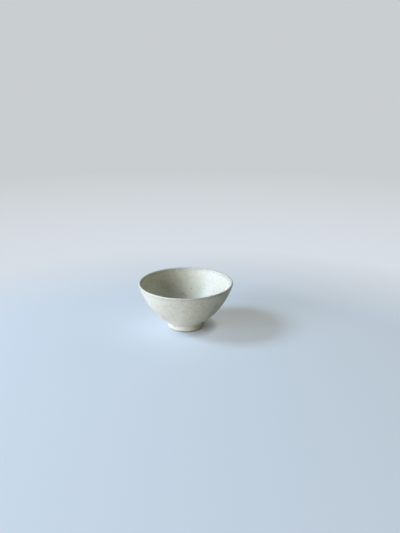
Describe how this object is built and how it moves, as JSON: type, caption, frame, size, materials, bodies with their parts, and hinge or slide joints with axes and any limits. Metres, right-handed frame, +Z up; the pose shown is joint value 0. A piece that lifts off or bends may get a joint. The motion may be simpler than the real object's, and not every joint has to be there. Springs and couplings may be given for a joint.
{
  "type": "bowl",
  "caption": "Round footed bowl: swelling thrown wall, rounded lip, ivory crackle glaze inside and out, and a turned foot ring whose bare clay edge it stands on.",
  "frame": {"origin": "on the plane that the bowl stands on, under the middle of the foot", "axes": "+Z is up along the axis that the bowl was thrown about; X and Y are alike, because the bowl is round"},
  "size_m": [0.12, 0.12, 0.06],
  "materials": {
    "clay": "bare fired stoneware, matt",
    "glaze": "satin ivory glaze with a fine crackle"
  },
  "bodies": {
    "root": {"bowl_body": "clay", "foot_ring": "clay", "outer_glaze": "glaze", "inner_glaze": "glaze", "well_glaze": "glaze"}
  },
  "joints": []
}
